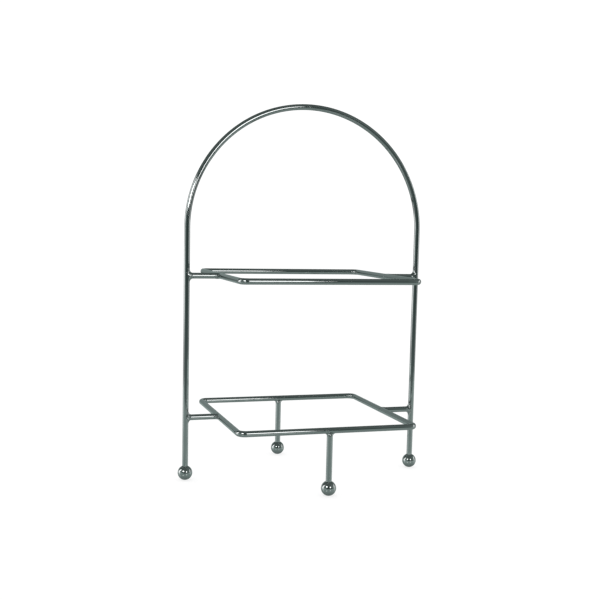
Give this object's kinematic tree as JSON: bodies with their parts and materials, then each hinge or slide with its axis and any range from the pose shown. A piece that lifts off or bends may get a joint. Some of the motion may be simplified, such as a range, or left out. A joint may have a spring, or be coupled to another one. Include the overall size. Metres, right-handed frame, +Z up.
{
  "type": "tiered cake stand",
  "caption": "Tall open rod stand for square plates: arched hoop handle, square plate frames held inside it by short arms, and ball feet.",
  "frame": {"origin": "on the table, under the middle of the stand", "axes": "+Z up; X across the hoop from its left foot to its right foot; -Y towards the front foot, +Y towards the back foot"},
  "size_m": [0.2648, 0.1958, 0.386],
  "materials": {
    "polished_rod": "bright plated steel rod, mirror polish with fine drawing lines",
    "polished_ball": "bright plated steel ball, mirror polish",
    "weld_metal": "plated weld bead, polished over but slightly uneven"
  },
  "bodies": {
    "root": {"hoop": "polished_rod", "upper_frame": "polished_rod", "upper_frame_butt_weld": "weld_metal", "upper_left_arm": "polished_rod", "upper_left_frame_weld": "weld_metal", "upper_left_hoop_weld": "weld_metal", "upper_right_arm": "polished_rod", "upper_right_frame_weld": "weld_metal", "upper_right_hoop_weld": "weld_metal", "lower_frame": "polished_rod", "lower_frame_butt_weld": "weld_metal", "lower_left_arm": "polished_rod", "lower_left_frame_weld": "weld_metal", "lower_left_hoop_weld": "weld_metal", "lower_right_arm": "polished_rod", "lower_right_frame_weld": "weld_metal", "lower_right_hoop_weld": "weld_metal", "front_leg": "polished_rod", "front_leg_weld": "weld_metal", "front_ball_foot": "polished_ball", "back_leg": "polished_rod", "back_leg_weld": "weld_metal", "back_ball_foot": "polished_ball", "left_ball_foot": "polished_ball", "right_ball_foot": "polished_ball"}
  },
  "joints": []
}
